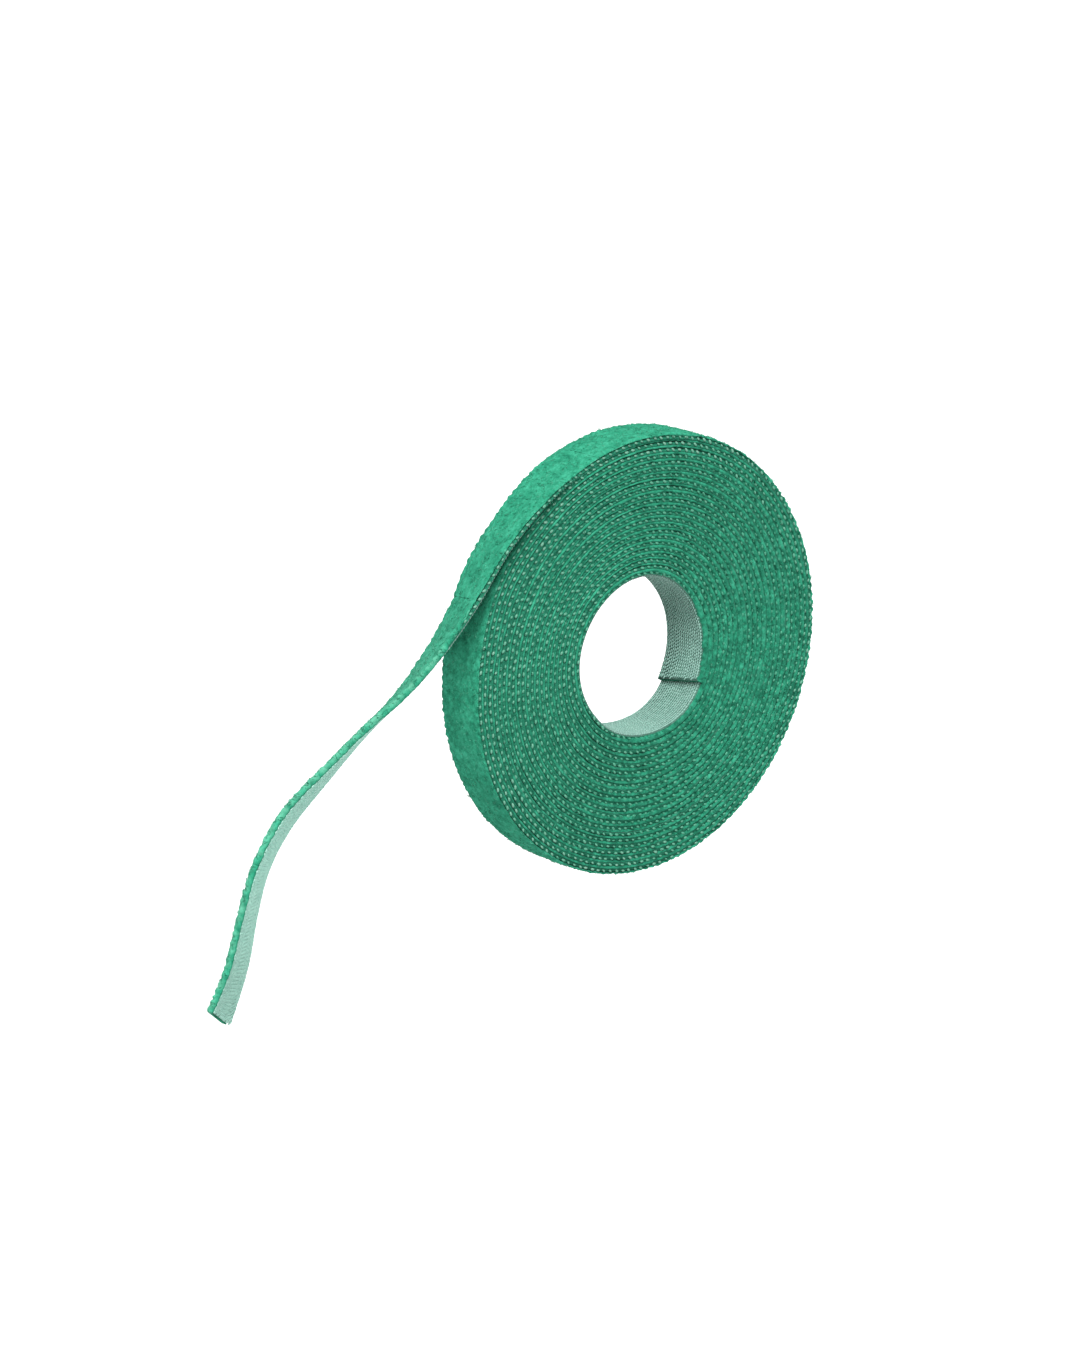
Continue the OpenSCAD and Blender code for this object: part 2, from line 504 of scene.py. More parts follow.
class NodeSheet:
    """A material's node tree, with short calls for the nodes that the finishes use."""

    def __init__(self, name: str) -> None:
        """Makes an empty material with its shader."""
        self.material = bpy.data.materials.new(name)
        self.material.use_nodes = True
        self.tree = self.material.node_tree
        self.shader = self.tree.nodes["Principled BSDF"]

    def node(self, kind: str, **settings: object) -> bpy.types.Node:
        """Adds a node and sets its properties."""
        made = self.tree.nodes.new(kind)
        for key, value in settings.items():
            setattr(made, key, value)
        return made

    def link(self, source: bpy.types.NodeSocket, target: bpy.types.NodeSocket) -> None:
        """Joins two sockets."""
        self.tree.links.new(source, target)

    def place(self) -> bpy.types.NodeSocket:
        """Returns the place on the tape, in metres along, across and through it."""
        return self.node("ShaderNodeAttribute", attribute_name="tape").outputs["Vector"]

    def tone(self, output: str = "Fac") -> bpy.types.NodeSocket:
        """Returns the tone that the mesh carries, as a number or as a grey, which may pass white."""
        return self.node("ShaderNodeAttribute", attribute_name="tone").outputs[output]

    def noise(
        self, size: float, detail: float = 2.0, rough: float = 0.5, stretch: tuple = (1, 1, 1)
    ) -> bpy.types.NodeSocket:
        """Adds noise on the tape.

        Args:
            size: Size of the noise's features, in metres.
            detail: Its octaves.
            rough: How strong the finer octaves are.
            stretch: How many times longer the features are, along, across and through the tape.

        Returns:
            The noise, from 0 to 1.
        """
        mapping = self.node("ShaderNodeMapping")
        mapping.inputs["Scale"].default_value = [1 / (size * s) for s in stretch]
        self.link(self.place(), mapping.inputs["Vector"])
        noise = self.node("ShaderNodeTexNoise")
        noise.inputs["Scale"].default_value = 1.0
        noise.inputs["Detail"].default_value = detail
        noise.inputs["Roughness"].default_value = rough
        self.link(mapping.outputs["Vector"], noise.inputs["Vector"])
        return noise.outputs["Fac"]

    def ramp(self, source: bpy.types.NodeSocket, stops: list[tuple[float, tuple]]) -> bpy.types.NodeSocket:
        """Maps a number to a colour.

        Args:
            source: The number.
            stops: Places from 0 to 1, each with its colour.

        Returns:
            The colour.
        """
        ramp = self.node("ShaderNodeValToRGB")
        elements = ramp.color_ramp.elements
        while len(elements) < len(stops):
            elements.new(1.0)
        for element, (place, colour) in zip(elements, stops):
            element.position = place
            element.color = (*colour, 1.0)
        self.link(source, ramp.inputs["Fac"])
        return ramp.outputs["Color"]

    def mix(
        self, share: bpy.types.NodeSocket | float, first: object, second: object, how: str = "MIX"
    ) -> bpy.types.NodeSocket:
        """Mixes two colours, each a socket or a plain colour."""
        mix = self.node("ShaderNodeMix", data_type="RGBA", blend_type=how)
        for value, socket in ((share, mix.inputs[0]), (first, mix.inputs[6]), (second, mix.inputs[7])):
            if isinstance(value, bpy.types.NodeSocket):
                self.link(value, socket)
            else:
                socket.default_value = value if isinstance(value, float) else (*value, 1.0)
        return mix.outputs[2]

    def math(self, operation: str, *values: object) -> bpy.types.NodeSocket:
        """Works out a number from sockets and plain numbers, held between 0 and 1."""
        sums = self.node("ShaderNodeMath", operation=operation, use_clamp=True)
        for value, socket in zip(values, sums.inputs):
            if isinstance(value, bpy.types.NodeSocket):
                self.link(value, socket)
            else:
                socket.default_value = value
        return sums.outputs[0]

    def bump(self, heights: list[tuple[bpy.types.NodeSocket, float, float]]) -> None:
        """Adds bumps to the shader.

        Args:
            heights: Each bump's height from 0 to 1, its depth in metres and its strength.
        """
        normal = None
        for height, depth, strength in heights:
            bump = self.node("ShaderNodeBump")
            bump.inputs["Distance"].default_value = depth
            bump.inputs["Strength"].default_value = strength
            self.link(height, bump.inputs["Height"])
            if normal is not None:
                self.link(normal, bump.inputs["Normal"])
            normal = bump.outputs["Normal"]
        self.link(normal, self.shader.inputs["Normal"])

    def set(self, **values: object) -> None:
        """Sets the shader's own sockets, named with underscores for spaces."""
        for key, value in values.items():
            self.shader.inputs[key.replace("_", " ")].default_value = value


@dataclass(frozen=True)
class PileFinish:
    """Brushed loop pile: soft tufts over a fine fibre grain, darker with painted shade at low tones and paler
    past 1, for pale fibres and the tail's painted glow.
    """

    shade: tuple = (0.009, 0.140, 0.078)
    body: tuple = (0.025, 0.258, 0.149)
    tip: tuple = (0.052, 0.375, 0.232)
    pale: tuple = (0.300, 0.660, 0.500)
    patch: float = 3.2 * MM
    tuft: float = 1.0 * MM
    fibre: float = 0.24 * MM
    paling: float = 0.9

    def build(self) -> bpy.types.Material:
        """Returns the material."""
        sheet = NodeSheet("loop_pile")
        patches = sheet.noise(self.patch, 2.0, 0.5)
        tufts = sheet.noise(self.tuft, 3.0, 0.55)
        fibres = sheet.noise(self.fibre, 3.0, 0.6, (1.6, 1, 1))
        coarse = sheet.math("ADD", sheet.math("MULTIPLY", patches, 0.25), sheet.math("MULTIPLY", tufts, 0.40))
        both = sheet.math("ADD", coarse, sheet.math("MULTIPLY", fibres, 0.35))
        stops = [(0.36, self.shade), (0.50, self.body), (0.64, self.tip)]
        # Tones below 1 are painted shade: they darken the pile's edges and underside.
        depth = sheet.math("MINIMUM", sheet.tone(), 1.0)
        excess = sheet.math("SUBTRACT", sheet.tone(), 1.0)
        colour = sheet.mix(1.0, sheet.ramp(both, stops), depth, "MULTIPLY")
        paler = sheet.mix(sheet.math("MULTIPLY", excess, self.paling), colour, self.pale)
        sheet.link(paler, sheet.shader.inputs["Base Color"])
        sheet.bump([(tufts, 0.18 * MM, 0.6), (fibres, 0.12 * MM, 0.8)])
        sheet.set(Roughness=0.95, Sheen_Weight=0.08, Sheen_Roughness=0.5)
        sheet.set(Sheen_Tint=(0.25, 0.95, 0.70, 1.0), Specular_IOR_Level=0.05)
        return sheet.material


@dataclass(frozen=True)
class FilmFinish:
    """The dark line of bonding film and pressed yarn between the hook sheet and the pile."""

    deep: tuple = (0.011, 0.110, 0.066)
    light: tuple = (0.028, 0.220, 0.130)
    pick: float = 0.35 * MM

    def build(self) -> bpy.types.Material:
        """Returns the material."""
        sheet = NodeSheet("bond_film")
        picks = sheet.noise(self.pick, 2.0, 0.6)
        stops = [(0.35, self.deep), (0.7, self.light)]
        sheet.link(sheet.ramp(picks, stops), sheet.shader.inputs["Base Color"])
        sheet.bump([(picks, 0.1 * MM, 0.5)])
        sheet.set(Roughness=0.85, Specular_IOR_Level=0.08)
        return sheet.material


@dataclass(frozen=True)
class YarnFinish:
    """Edge stitches of clear yarn, pale where they are bare, with painted glints on a few of the bare beads,
    and green where pile covers them.
    """

    covered: tuple = (0.026, 0.235, 0.138)
    bare: tuple = (0.160, 0.345, 0.255)
    strand: float = 0.14 * MM

    def build(self) -> bpy.types.Material:
        """Returns the material."""
        sheet = NodeSheet("edge_yarn")
        strands = sheet.noise(self.strand, 1.0, 0.5, (1, 3, 1))
        base = sheet.mix(sheet.tone(), self.covered, self.bare)
        worn = sheet.mix(sheet.math("MULTIPLY", strands, 0.45), base, self.covered)
        sheet.link(worn, sheet.shader.inputs["Base Color"])
        sheet.bump([(strands, 0.05 * MM, 0.5)])
        sheet.set(Roughness=0.38, Specular_IOR_Level=0.5)
        return sheet.material


@dataclass(frozen=True)
class HookFinish:
    """Pale clear hook sheet, darker in its ground than on its hooks, times the mesh's tone, which paints
    shade into the bore and light onto the hanging tail.
    """

    ground: tuple = (0.040, 0.140, 0.100)
    bright: tuple = (0.085, 0.225, 0.170)
    name: str = "hook_ground"
    cloud: float = 2.2 * MM
    grain: float = 0.22 * MM

    def build(self) -> bpy.types.Material:
        """Returns the material."""
        sheet = NodeSheet(self.name)
        clouds = sheet.noise(self.cloud, 2.0, 0.5)
        grains = sheet.noise(self.grain, 2.0, 0.55, (3, 1, 1))
        both = sheet.math("ADD", sheet.math("MULTIPLY", clouds, 0.45), sheet.math("MULTIPLY", grains, 0.55))
        stops = [(0.32, self.ground), (0.68, self.bright)]
        # The mesh's tone multiplies the colour: painted shade in the bore, painted light on the hanging tail.
        colour = sheet.mix(1.0, sheet.ramp(both, stops), sheet.tone("Color"), "MULTIPLY")
        sheet.link(colour, sheet.shader.inputs["Base Color"])
        sheet.bump([(grains, 0.06 * MM, 0.6)])
        sheet.set(Roughness=0.5, Specular_IOR_Level=0.4)
        sheet.set(Subsurface_Weight=0.3, Subsurface_Scale=0.15 * MM, Subsurface_Radius=(1.0, 1.0, 1.0))
        return sheet.material


@dataclass(frozen=True)
class Fuzz:
    """How far the pile's loose fibres cover the edge stitches, by place on the tape."""

    winding: Winding
    peel: float
    peak: float = -15
    reach: float = 80
    most: float = 0.92
    least: float = 0.10
    over: float = 1.35
    at_rim: float = 0.6
    at_bore: float = 0.8
    at_middle: float = 0.14
    at_fringe: float = 1.4
    slow_change: float = 0.20
    quick_change: float = 0.18
    fringe_start: float = 36 * MM
    fringe_growth: float = 18 * MM
    slow_patch: float = 14 * MM
    quick_patch: float = 3.2 * MM
    seed: int = 11

    def hung(self, distance: np.ndarray) -> np.ndarray:
        """Returns how far the pile is past the place where it wraps the tail's front edge."""
        return eased((distance - self.peel - self.fringe_start) / self.fringe_growth)

    def cover(self, distance: np.ndarray, turns: np.ndarray, side: Side) -> np.ndarray:
        """Finds the cover.

        Args:
            distance: Distances along the tape.
            turns: Turns from the inner end.
            side: The edge.

        Returns:
            Numbers from 0, bare, to 1, hidden, and a little more where the pile wraps the edge.
        """
        slow, quick = Wander(self.seed + side.value), Wander(self.seed + 10 + side.value)
        thick = hump(self.winding.angle(turns), self.peak, self.reach)
        outer = eased((turns - self.winding.turns + 3.5) / 3)
        first = 1 - eased((turns - 1) / 0.15)
        middle = np.exp(-(((turns - 8) / 5) ** 2))
        base = self.least + (self.most - self.least) * thick * (1 - self.at_rim * outer)
        base = base + self.at_bore * first * thick + self.at_middle * middle
        if side is Side.FRONT:
            base = base + self.at_fringe * self.hung(distance)
        base = base + self.slow_change * slow.at(distance / self.slow_patch)
        base = base + self.quick_change * quick.at(distance / self.quick_patch)
        return np.clip(base, 0.0, self.over)


@dataclass(frozen=True)
class Bead:
    """One edge stitch: a rounded bead of yarn, with half its length and width and its height."""

    length: float = 0.58 * MM
    width: float = 0.33 * MM
    height: float = 0.30 * MM
    inset: float = 0.16 * MM
    level: float = 0.36
    tilt: float = 0.35
    rings: tuple = (90, 48, 20)
    sides: int = 6
    margin: float = 0.6 * MM


@dataclass(frozen=True)
class HookShape:
    """One hook of the sheet: its leaning profile from foot to tip, and half its width and length."""

    lean: tuple = (0.0, 0.01 * MM, 0.02 * MM, 0.04 * MM)
    rise: tuple = (-0.05 * MM, 0.12 * MM, 0.24 * MM, 0.30 * MM)
    half_width: tuple = (0.16 * MM, 0.15 * MM, 0.11 * MM, 0.05 * MM)
    half_length: tuple = (0.42 * MM, 0.42 * MM, 0.41 * MM, 0.35 * MM)
    skew: float = 0.28
    pitch: float = 0.8 * MM
    selvedge: float = 0.45 * MM
    margin: float = 0.35 * MM


@dataclass(frozen=True)
class Fibre:
    """Loose loops of the pile, with the least and most of each size."""

    length: tuple = (0.4 * MM, 1.0 * MM)
    height: tuple = (0.10 * MM, 0.32 * MM)
    radius: tuple = (0.030 * MM, 0.055 * MM)
    course: tuple = (0.0, 0.33, 0.67, 1.0)
    sides: int = 4
    per_area: float = 0.9 / MM**2
    per_edge: float = 2.6 / MM


@dataclass(frozen=True)
class Nap:
    """The pile's uneven face: sizes of its tufts, grain and edge ruffle, and how deep each is."""

    tuft_length: float = 1.3 * MM
    tuft_width: float = 1.1 * MM
    tuft_depth: float = 0.13 * MM
    grain: float = 0.45 * MM
    grain_depth: float = 0.11 * MM
    edge: float = 1.1 * MM
    ruffle: float = 0.17 * MM
    edge_drop: float = 0.16 * MM
    fleck: float = 0.8 * MM


@dataclass(frozen=True)
class Stretch:
    """One length of the tape, and what it rides on and stands for."""

    name: str
    start: float
    end: float
    bodies: tuple[str, ...]
    part: str
    face: Face

    @property
    def length(self) -> float:
        """Returns its length along the tape."""
        return self.end - self.start


class TapeBuilder:
    """Builds the layers of each stretch of the tape."""

    FINE = 0.34 * MM
    LIP = 0.5 * MM
    LIP_BULGES = np.array([0.3, 0.8, 1.0, 0.6, 0.0])
    LIP_INSETS = np.array([0.16, 0.03, 0.0, 0.06, 0.35]) * MM
    # Steps of painted shade round the pile's lip, added to its tone.
    LIP_PAINTED_SHADE = np.array([0.1, 0.0, -0.10, -0.2])
    # Painted shade on the pile's underside, as a tone.
    PAINTED_UNDER_SHADE = 0.75
    # How far past the peel line the hook sheet's edges keep the dark film finish as painted shade.
    PAINTED_EDGE_SHADE_END = 62 * MM
    END_MARGIN = 0.5 * MM
    BLEND = 8 * MM
    BLEND_AT_RIM = 2 * MM
    DRIFT, SWAY = 0.20 * MM, 0.05 * MM
    DRIFT_RUN, SWAY_RUN = 170 * MM, 23 * MM
    INNER_SLANT, INNER_RUN = 1.15 * MM, 4 * MM
    CUT_BACK, CUT_SLANT, CUT_CORNER, CUT_RUN = 0.2 * MM, 1.3 * MM, 1.0 * MM, 6 * MM
    BEAD, HOOK, FIBRE, NAP = Bead(), HookShape(), Fibre(), Nap()

    def __init__(self, tape: Tape, line: TapeLine, fuzz: Fuzz) -> None:
        """Keeps the tape's sizes and route, and makes the finishes."""
        self.tape, self.line, self.fuzz = tape, line, fuzz
        self.pile_finish = PileFinish().build()
        self.film_finish = FilmFinish().build()
        self.yarn_finish = YarnFinish().build()
        self.ground_finish = HookFinish().build()
        self.hook_finish = HookFinish((0.215, 0.41, 0.345), (0.31, 0.53, 0.45), "hooks").build()
        self.tufts, self.grain, self.drift = Wander(3), Wander(4), Wander(5)

    def stations(self, stretch: Stretch, step: float) -> Stations:
        """Returns a stretch's stations, about one step apart, with both ends."""
        count = max(2, round(stretch.length / step) + 1)
        return self.line.at(np.linspace(stretch.start, stretch.end, count))

    def shift(self, distance: np.ndarray) -> np.ndarray:
        """Returns how far the turns lie sideways of each other, towards the front."""
        slow = self.drift.at(distance / self.DRIFT_RUN)
        quick = self.drift.at(distance / self.SWAY_RUN, 9.0)
        return self.DRIFT * slow + self.SWAY * quick

    def slant(self, distance: np.ndarray, across: np.ndarray) -> np.ndarray:
        """Returns how far the two cut ends lean along the tape at these places.

        Args:
            distance: Distances along the tape.
            across: Distances towards the front edge.
        """
        share = across / self.tape.half
        inner = self.INNER_SLANT * share * np.exp(-((distance / self.INNER_RUN) ** 2))
        corner = self.CUT_CORNER * eased((-share - 0.8) / 0.2)
        near_cut = eased(1 - (self.line.length - distance) / self.CUT_RUN)
        return inner - (self.CUT_BACK + self.CUT_SLANT * share + corner) * near_cut

    def wave(self, distance: np.ndarray, side: int) -> np.ndarray:
        """Returns the ruffle, from -1 to 1, that the edge stitches pull into the pile."""
        wander = 1.3 * self.grain.at(distance / (4 * MM), 70.0 + side)
        depth = 0.60 + 0.40 * self.grain.at(distance / (2.3 * MM), 110.0 + side)
        return depth * np.cos(TURN * distance / self.tape.stitch + wander)

    def glow(self, distance: np.ndarray) -> np.ndarray:
        """Returns how much paler the free tail looks, where light comes through it."""
        return 1 + 0.15 * eased((distance - self.line.peel - 30 * MM) / (50 * MM))

    def painted_hook_light(self, distance: np.ndarray) -> np.ndarray:
        """Returns the painted light and shade on the hook face: painted shade dulls it in the bore, and
        painted light, for light coming through the tape, makes it brightest halfway down the tail.
        """
        past = distance - self.line.peel
        return 0.78 + 0.72 * eased((past - 40 * MM) / (30 * MM)) - 0.38 * eased((past - 95 * MM) / (45 * MM))

    def nap(self, distance: np.ndarray, across: np.ndarray) -> np.ndarray:
        """Returns how far the pile's face stands out from its mean, in metres."""
        nap = self.NAP
        tufts = nap.tuft_depth * self.tufts.at(distance / nap.tuft_length, across / nap.tuft_width)
        grain = nap.grain_depth * self.grain.at(distance / nap.grain, across / nap.grain)
        edge = eased((np.abs(across) - self.tape.half + nap.edge) / nap.edge)
        ruffle = np.where(across > 0, self.wave(distance, 1), self.wave(distance, -1))
        return tufts + grain + edge * (nap.ruffle * ruffle - nap.edge_drop)

    def strip(
        self, stock: Stock, at: Stations, across: np.ndarray, share: np.ndarray,
        raised: np.ndarray | float = 0.0, tone: np.ndarray | float = 1.0, finish: np.ndarray | int = 0,
    ) -> None:
        """Adds a closed strip with its own cross-section at each station.

        Args:
            stock: The piece's stock.
            at: The stations.
            across: Distances towards the front edge, a row for each station.
            share: Shares of the thickness, from the inner face.
            raised: Extra distances towards the pile side.
            tone: The tone that the finish reads.
            finish: The number of the finish, or one for each side of the section.
        """
        rings, sides = across.shape
        run = np.broadcast_to(at.distance[:, None], across.shape)
        points = at.rings(across + self.shift(at.distance)[:, None], share, raised)
        points = points + at.along[:, None] * self.slant(run, across)[..., None]
        tones = np.broadcast_to(tone, across.shape)
        marks = np.stack([run, across, share * self.tape.thickness, tones], axis=-1)
        faces = tube_faces(rings, sides)
        ends = len(faces) - (rings - 1) * sides
        if isinstance(finish, np.ndarray):
            finish = np.concatenate([np.tile(finish, rings - 1), np.zeros(ends, dtype=int)])
        stock.add(points.reshape(-1, 3), marks.reshape(-1, 4), faces, finish, ends)

    def pile(self, stretch: Stretch) -> bpy.types.Object:
        """Builds the loop pile, with its tufted face where that shows and its soft edges."""
        tape = self.tape
        shown = stretch.face in (Face.PILE, Face.BOTH)
        at = self.stations(stretch, self.FINE if shown else tape.stitch / 4)
        columns = round((tape.width - 2 * self.LIP) / self.FINE) if shown else 1
        rows = len(at.distance)
        face = np.linspace(-tape.half + self.LIP, tape.half - self.LIP, columns + 1)
        under = np.array([tape.half - 2 * self.LIP, -tape.half + 2 * self.LIP])
        front, back = self.lip(at, Side.FRONT, shown), self.lip(at, Side.BACK, shown)
        outer, inner = np.ones((rows, columns + 1)), np.ones((rows, 2))
        across = np.hstack([np.tile(face, (rows, 1)), front[0], np.tile(under, (rows, 1)), back[0]])
        share = np.hstack([outer, front[1], tape.pile_share * inner, back[1]])
        # Tones: 1 on the face, painted shade on the lips and on the underside.
        tone = np.hstack([outer, front[2], self.PAINTED_UNDER_SHADE * inner, back[2]])
        raised = np.zeros_like(across)
        if shown:
            near_face = eased((share - 0.8) / 0.15)
            raised = near_face * self.nap(at.distance[:, None], np.clip(across, -tape.half, tape.half))
        stock = Stock()
        self.strip(stock, at, across, share, raised, tone * self.glow(at.distance)[:, None])
        if shown:
            self.loops(stock, stretch)
        for side in Side:
            self.edge_loops(stock, stretch, side)
        return stock.piece(f"pile_{stretch.name}", [self.pile_finish])

    def lip(self, at: Stations, side: Side, shown: bool) -> tuple[np.ndarray, ...]:
        """Shapes the pile's soft edge, which hangs over the stitches where the fuzz is thick.

        Args:
            at: The stations.
            side: The edge.
            shown: Whether the pile's face can be seen here.

        Returns:
            Distances across the tape, shares of its thickness and tones that paint shade into the edge,
            from the outer face inwards at the front edge and from the inner face outwards at the back edge.
        """
        cover = self.fuzz.cover(at.distance, at.turns, side)
        wave = self.wave(at.distance, side.value)
        nap = self.grain.at(at.distance / self.NAP.grain, 40.0 + side.value)
        fleck = self.tufts.at(at.distance / self.NAP.fleck, 90.0 + side.value)
        hung = self.fuzz.hung(at.distance)
        low = 0.74 - (0.50 + 0.10 * hung) * cover + 0.09 * nap
        bulge = (0.02 + 0.17 * cover + 0.06 * wave * (1.4 if shown else 1 - cover) + 0.14 * nap) * MM
        reach = self.tape.half + bulge[:, None] * self.LIP_BULGES - self.LIP_INSETS
        flat = np.zeros_like(low)
        turned = (0.95 + low) / 2 + 0.04 * nap
        share = np.stack([flat + 0.99, flat + 0.95, turned, low + 0.04, low - 0.08], axis=-1)
        # The lip's tone paints shade into the edge: darker on the sides of the wound turns than on the rim
        # and tail, stepping darker round the lip; cover and fleck vary it.
        light = (0.86 if shown else 0.68) + 0.10 * cover + (0.26 - 0.14 * hung) * fleck
        tone = np.hstack([flat[:, None] + 1.0, light[:, None] + self.LIP_PAINTED_SHADE])
        reach, share, tone = (v if side is Side.FRONT else v[:, ::-1] for v in (reach, share, tone))
        return side.value * reach, share, tone

    def spots(
        self, at: Stations, across: np.ndarray, share: np.ndarray | float = 0.0,
        raised: np.ndarray | float = 0.0,
    ) -> np.ndarray:
        """Finds one point on the tape at each station, for what stands on it.

        Args:
            at: The stations.
            across: Distances towards the front edge.
            share: Shares of the thickness, from the inner face.
            raised: Extra distances towards the pile side.

        Returns:
            One point a row.
        """
        share, raised = (np.broadcast_to(v, across.shape)[:, None] for v in (share, raised))
        sideways = (across + self.shift(at.distance))[:, None]
        leaning = self.slant(at.distance, across)[:, None]
        return at.inner + at.lift * share + at.front * sideways + at.along * leaning + at.out * raised

    def loops(self, stock: Stock, stretch: Stretch) -> None:
        """Adds the loose loops of fibre that stand on the pile."""
        tape = self.tape
        rng = np.random.default_rng(round(stretch.start / MM) + 31)
        count = round(stretch.length * tape.width * self.FIBRE.per_area)
        places = rng.uniform(stretch.start + self.END_MARGIN, stretch.end - self.END_MARGIN, count)
        across = tape.half * rng.uniform(-1.02, 1.02, count)
        heading = rng.uniform(0, TURN, count)
        at = self.line.at(places)
        lead = np.cos(heading)[:, None] * at.along + np.sin(heading)[:, None] * at.front
        nap = self.nap(places, np.clip(across, -tape.half, tape.half))
        base = self.spots(at, across, 1.0, nap - 0.03 * MM)
        tone = rng.uniform(0.72, 1.30, count) * self.glow(places)
        self.arches(stock, rng, base, lead, at.out, places, across, tone)

    def edge_loops(self, stock: Stock, stretch: Stretch, side: Side) -> None:
        """Adds the loose loops that hang from the pile over the edge stitches."""
        rng = np.random.default_rng(round(stretch.start / MM) + 60 + side.value)
        count = round(stretch.length * self.FIBRE.per_edge)
        places = rng.uniform(stretch.start + self.END_MARGIN, stretch.end - self.END_MARGIN, count)
        cover = self.fuzz.cover(places, self.line.at(places).turns, side)
        kept = rng.uniform(0, 1, count) < cover
        places, cover = places[kept], cover[kept]
        at = self.line.at(places)
        heading = rng.uniform(-1.4, 1.4, places.size)
        sideways = side.value * at.front
        lead = np.sin(heading)[:, None] * at.along - np.cos(heading)[:, None] * at.out
        share = rng.uniform(0.45, 1.0, places.size)
        across = side.value * (self.tape.half + MM * (0.10 * cover + rng.uniform(-0.05, 0.06, places.size)))
        # Edge loops take darker tones than the loops on the face: painted shade on the pile's side.
        tone = rng.uniform(0.45, 1.05, places.size) * self.glow(places)
        self.arches(stock, rng, self.spots(at, across, share), lead, sideways, places, across, tone)

    def arches(
        self, stock: Stock, rng: np.random.Generator, base: np.ndarray, lead: np.ndarray,
        up: np.ndarray, places: np.ndarray, across: np.ndarray, tone: np.ndarray,
    ) -> None:
        """Adds thin fibres that each arch over the surface.

        Args:
            stock: The piece's stock.
            rng: The random numbers.
            base: Where each fibre starts.
            lead: The direction in which it goes.
            up: The direction in which it stands off.
            places: Distances along the tape.
            across: Distances towards the front edge.
            tone: Tones.
        """
        fibre, count = self.FIBRE, len(base)
        length, height = rng.uniform(*fibre.length, count), rng.uniform(*fibre.height, count)
        radius = rng.uniform(*fibre.radius, count)
        course = np.array(fibre.course)
        arc = (
            base[:, None] + lead[:, None] * (length[:, None] * course)[..., None]
            + up[:, None] * (height[:, None] * np.sin(math.pi * course))[..., None]
        )
        beside = np.cross(up, lead)
        corners = np.arange(fibre.sides) * TURN / fibre.sides
        skin = (
            beside[:, None] * np.cos(corners)[None, :, None] + up[:, None] * np.sin(corners)[None, :, None]
        ) * radius[:, None, None]
        points = (arc[:, :, None] + skin[:, None]).reshape(count, -1, 3)
        marks = marked(points, places, across, self.tape.thickness, tone)
        stock.add(*many(points, marks, tube_faces(course.size, fibre.sides)))

    def film(self, stretch: Stretch) -> bpy.types.Object:
        """Builds the bonding film, which shows as a dark line in the edge."""
        at = self.stations(stretch, self.tape.stitch / 2)
        edge = self.tape.half - 0.22 * MM
        low, high = self.tape.hook_share, self.tape.pile_share
        across = np.array([-edge, edge, edge, -edge])
        share = np.array([high, high, low, low])
        rows = len(at.distance)
        stock = Stock()
        self.strip(stock, at, np.tile(across, (rows, 1)), np.tile(share, (rows, 1)))
        return stock.piece(f"film_{stretch.name}", [self.film_finish])

    def hooks(self, stretch: Stretch) -> bpy.types.Object:
        """Builds the hook sheet, with its rows of hooks where that face shows."""
        dressed = stretch.face in (Face.HOOKS, Face.BOTH)
        at = self.stations(stretch, self.tape.stitch / 2)
        edge, rim = self.tape.half - 0.18 * MM, self.tape.half - 0.10 * MM
        low, step, high = 0.02, 0.14, self.tape.hook_share
        across = np.array([-edge, edge, edge, rim, -rim, -edge])
        share = np.array([high, high, step, low, low, step])
        ground, film, hook = 0, 1, 2
        # The dark film finish on the hook sheet's edge walls and bevels is painted shade, for the shade
        # between the stitches; only the bore's bevels take the ground finish, and far down the tail the walls
        # take the hook finish.
        bevel = ground if stretch.face is Face.HOOKS else film
        sides = np.array([film, film, bevel, ground, bevel, film])
        if stretch.start > self.line.peel + self.PAINTED_EDGE_SHADE_END:
            sides = np.array([film, hook, hook, ground, hook, hook])
        rows = len(at.distance)
        stock = Stock()
        # Painted light and shade on the hook sheet: dull in the bore, bright down the hanging tail.
        bright = self.painted_hook_light(at.distance)[:, None]
        across, share = np.tile(across, (rows, 1)), np.tile(share, (rows, 1))
        self.strip(stock, at, across, share, tone=bright, finish=sides)
        if dressed:
            self.hook_rows(stock, stretch, hook)
        finishes = [self.ground_finish, self.film_finish, self.hook_finish]
        return stock.piece(f"hook_{stretch.name}", finishes)

    def kept(self, places: np.ndarray, stretch: Stretch, margin: float) -> np.ndarray:
        """Tells which places belong to a stretch and stay clear of the tape's two cut ends."""
        low, high = max(stretch.start, margin), min(stretch.end, self.line.length - margin)
        return (places >= low) & (places < high)

